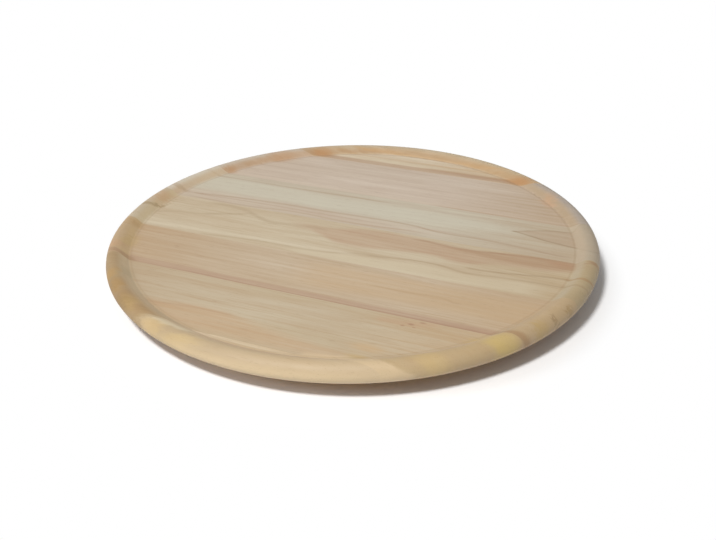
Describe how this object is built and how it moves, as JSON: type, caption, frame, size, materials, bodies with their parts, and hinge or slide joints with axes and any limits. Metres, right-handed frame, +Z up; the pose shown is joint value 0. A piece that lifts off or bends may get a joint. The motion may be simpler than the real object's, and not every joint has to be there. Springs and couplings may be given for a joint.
{
  "type": "lazy susan",
  "caption": "Round wooden turntable board of edge-glued staves with a raised rounded rim and shallow tray recess, spinning on a flat ball-bearing swivel with rubber feet.",
  "frame": {"origin": "on the table under the middle of the board, at the bottom of the rubber feet and on the axis that the board turns about", "axes": "+Z up along the turning axis, +X along the grain of the staves, +Y towards the back stave"},
  "size_m": [0.39, 0.39, 0.028],
  "materials": {
    "stave_1_wood": "satin clear lacquer on honey-coloured wood",
    "stave_2_wood": "satin clear lacquer on pinkish beige wood",
    "stave_3_wood": "satin clear lacquer on pale cream wood",
    "stave_4_wood": "satin clear lacquer on cream wood with a red-brown heart streak",
    "stave_5_wood": "satin clear lacquer on pinkish brown wood",
    "stave_6_wood": "satin clear lacquer on pale beige wood",
    "stave_7_wood": "satin clear lacquer on yellow cream wood",
    "zinc_plated_sheet": "pressed sheet steel, zinc plated",
    "polished_ball_steel": "polished",
    "rivet_steel": "turned steel, zinc plated",
    "screw_steel": "zinc plated",
    "foot_rubber": "matt black rubber"
  },
  "bodies": {
    "base": {"lower_plate": "zinc_plated_sheet", "centre_rivet": "rivet_steel", "spacer_washer": "rivet_steel", "rubber_foot_1": "foot_rubber", "rubber_foot_2": "foot_rubber", "rubber_foot_3": "foot_rubber", "rubber_foot_4": "foot_rubber"},
    "ball_ring": {"bearing_balls": "polished_ball_steel"},
    "turntable": {"top_stave_1": "stave_1_wood", "top_stave_2": "stave_2_wood", "top_stave_3": "stave_3_wood", "top_stave_4": "stave_4_wood", "top_stave_5": "stave_5_wood", "top_stave_6": "stave_6_wood", "top_stave_7": "stave_7_wood", "upper_plate": "zinc_plated_sheet", "plate_screw_1": "screw_steel", "plate_screw_2": "screw_steel", "plate_screw_3": "screw_steel", "plate_screw_4": "screw_steel"}
  },
  "joints": [
    {"name": "turntable_spin", "type": "hinge", "parent": "base", "child": "turntable", "pos_m": [0, 0, 0.0085], "axis": [0, 0, 1], "continuous": true},
    {"name": "ball_orbit", "type": "hinge", "parent": "base", "child": "ball_ring", "pos_m": [0, 0, 0.0085], "axis": [0, 0, 1], "continuous": true}
  ],
  "couplings": [
    {"joint": "ball_orbit", "follows": "turntable_spin", "ratio": 0.5}
  ]
}
